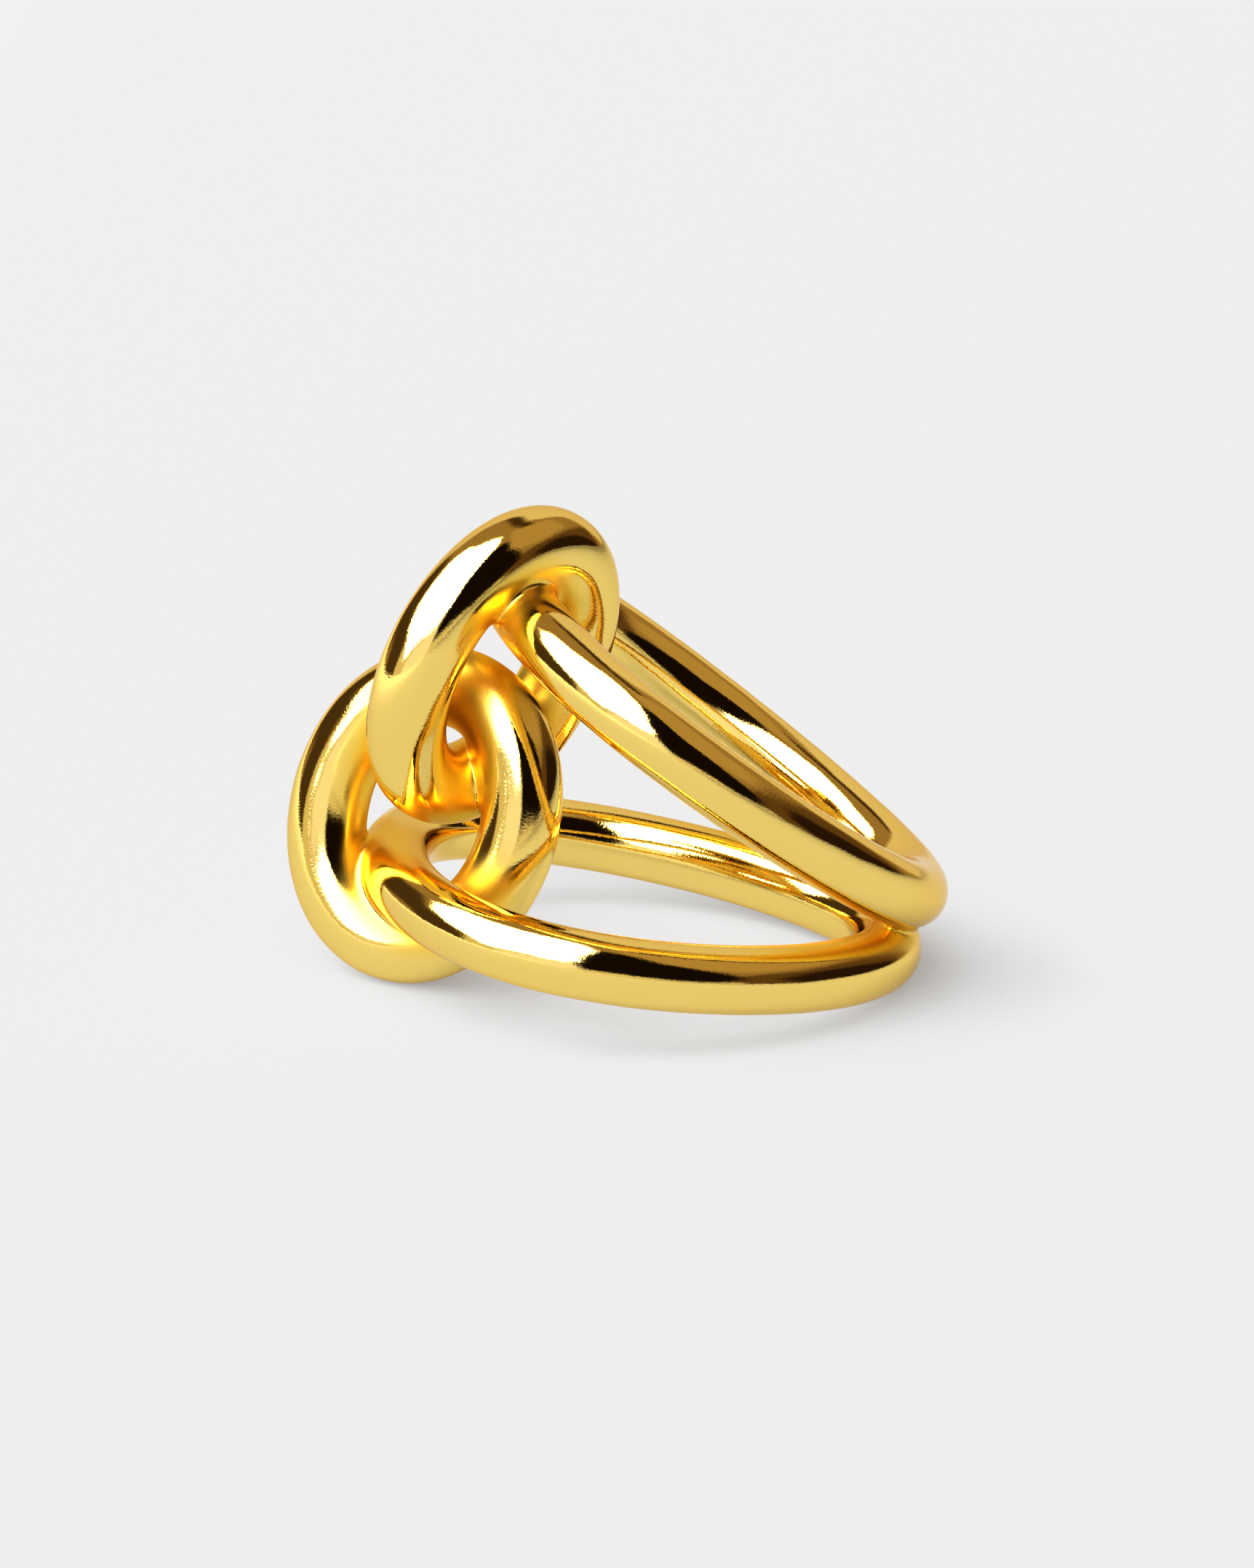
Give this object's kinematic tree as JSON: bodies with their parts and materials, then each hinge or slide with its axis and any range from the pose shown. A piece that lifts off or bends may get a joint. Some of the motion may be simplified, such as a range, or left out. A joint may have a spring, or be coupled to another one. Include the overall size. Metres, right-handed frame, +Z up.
{
  "type": "link ring",
  "caption": "Finger ring of round gold wire: hoops that meet at the back and open towards the front, where interlocked oval links hold them together.",
  "frame": {"origin": "bottom centre of the bounding box: the point on the surface under the middle of the ring as it lies on its side", "axes": "+Z up from the surface, +X from the knot of links at the front to the back where the hoops meet, +Y across the finger opening; the finger goes along (0.371, 0.025, 0.928)"},
  "size_m": [0.0284, 0.0242, 0.021],
  "materials": {
    "gold": "polished gold, with a faint hand-finished waviness"
  },
  "bodies": {
    "root": {"link_ring": "gold"}
  },
  "joints": []
}
